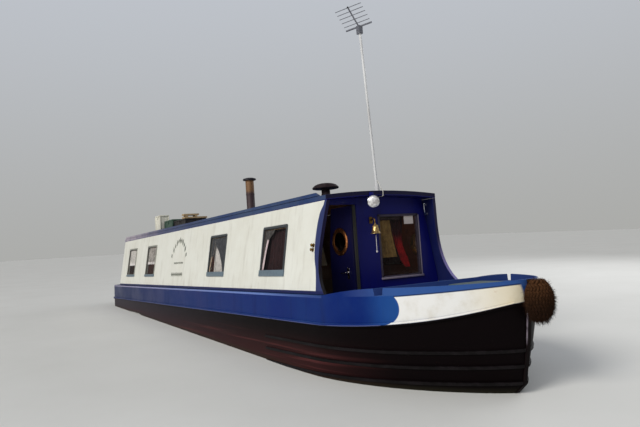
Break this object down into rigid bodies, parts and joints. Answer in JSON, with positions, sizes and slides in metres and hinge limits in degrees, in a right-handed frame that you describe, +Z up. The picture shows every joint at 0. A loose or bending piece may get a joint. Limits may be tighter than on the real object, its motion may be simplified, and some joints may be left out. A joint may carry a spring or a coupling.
{
  "type": "narrowboat",
  "caption": "Steel canal narrowboat with a long windowed cabin, well deck at the bow, small rear deck, rudder with tiller, propeller, doors, sliding hatch and roof fittings.",
  "frame": {"origin": "middle of the overall length and beam, on the underside of the baseplate", "axes": "+X towards the bow, +Y to port, +Z up"},
  "size_m": [12.3312, 2.076, 4.4485],
  "materials": {
    "hull_steel": "black bitumen paint with rust, blue band and pale panel above the strake",
    "blue_paint": "weathered gloss blue",
    "cream_paint": "semi-gloss cream",
    "green_paint": "matt dark green",
    "mast_paint": "pale grey paint",
    "engine_metal": "painted casting",
    "bare_steel": "worn dark steel",
    "window_alloy": "dull grey-blue frame around dark glass",
    "chrome": "polished",
    "brass": "polished, slightly tarnished",
    "floor_wood": "plain boards",
    "rope": "shaggy coir rope",
    "cord": "braided white cord"
  },
  "bodies": {
    "hull": {"baseplate": "hull_steel", "bow_hull": "hull_steel", "side_plate_starboard": "hull_steel", "side_plate_port": "hull_steel", "stern_hull": "hull_steel", "stem_post": "hull_steel", "rubbing_strake_starboard": "hull_steel", "rubbing_strake_port": "hull_steel", "engine": "engine_metal", "cabin_floor": "floor_wood", "front_steps": "floor_wood", "cabin_side_starboard": "cream_paint", "cabin_side_port": "cream_paint", "window_1_starboard": "window_alloy", "window_1_port": "window_alloy", "window_2_starboard": "window_alloy", "window_2_port": "window_alloy", "window_3_starboard": "window_alloy", "window_3_port": "window_alloy", "window_4_starboard": "window_alloy", "window_4_port": "window_alloy", "porthole_port": "brass", "roof": "blue_paint", "handrail_starboard": "blue_paint", "handrail_port": "blue_paint", "front_bulkhead": "blue_paint", "front_window": "window_alloy", "rear_bulkhead": "blue_paint", "mushroom_vent": "bare_steel", "chimney": "hull_steel", "mast": "mast_paint", "tv_aerial": "window_alloy", "roof_locker": "cream_paint", "pigeon_box": "green_paint", "roof_boards": "floor_wood", "headlamp": "chrome", "bell": "brass", "bell_lanyard": "cord", "bow_fender": "rope", "stern_fender": "rope", "aerial_cable": "cord", "coal_box": "hull_steel"},
    "propeller": {"propeller": "brass"},
    "steering": {"rudder": "bare_steel", "tiller": "brass"},
    "front_door": {"front_door": "blue_paint", "front_door_porthole": "brass"},
    "rear_door_starboard": {"rear_door_starboard": "blue_paint"},
    "rear_door_port": {"rear_door_port": "blue_paint"},
    "sliding_hatch": {"sliding_hatch": "blue_paint"},
    "locker_lid": {"locker_lid": "blue_paint"}
  },
  "joints": [
    {"name": "propeller_spin", "type": "hinge", "parent": "hull", "child": "propeller", "pos_m": [-5.28565, 0, 0.33], "axis": [1, 0, 0], "continuous": true},
    {"name": "rudder_turn", "type": "hinge", "parent": "hull", "child": "steering", "pos_m": [-5.61565, 0, 0.6], "axis": [0, 0, 1], "range_deg": [-38, 38]},
    {"name": "front_door_hinge", "type": "hinge", "parent": "hull", "child": "front_door", "pos_m": [3.77935, -0.262, 1.4], "axis": [0, 0, 1], "range_deg": [0, 90]},
    {"name": "rear_door_starboard_hinge", "type": "hinge", "parent": "hull", "child": "rear_door_starboard", "pos_m": [-5.08165, -0.312, 1.7], "axis": [0, 0, 1], "range_deg": [0, 165]},
    {"name": "rear_door_port_hinge", "type": "hinge", "parent": "hull", "child": "rear_door_port", "pos_m": [-5.08165, 0.312, 1.7], "axis": [0, 0, 1], "range_deg": [-165, 0]},
    {"name": "hatch_slide", "type": "slide", "parent": "hull", "child": "sliding_hatch", "axis": [1, 0, 0], "range_m": [0, 0.7]},
    {"name": "locker_lid_hinge", "type": "hinge", "parent": "hull", "child": "locker_lid", "pos_m": [5.18835, 0, 1.21147], "axis": [0, -1, 0], "range_deg": [0, 105]}
  ]
}
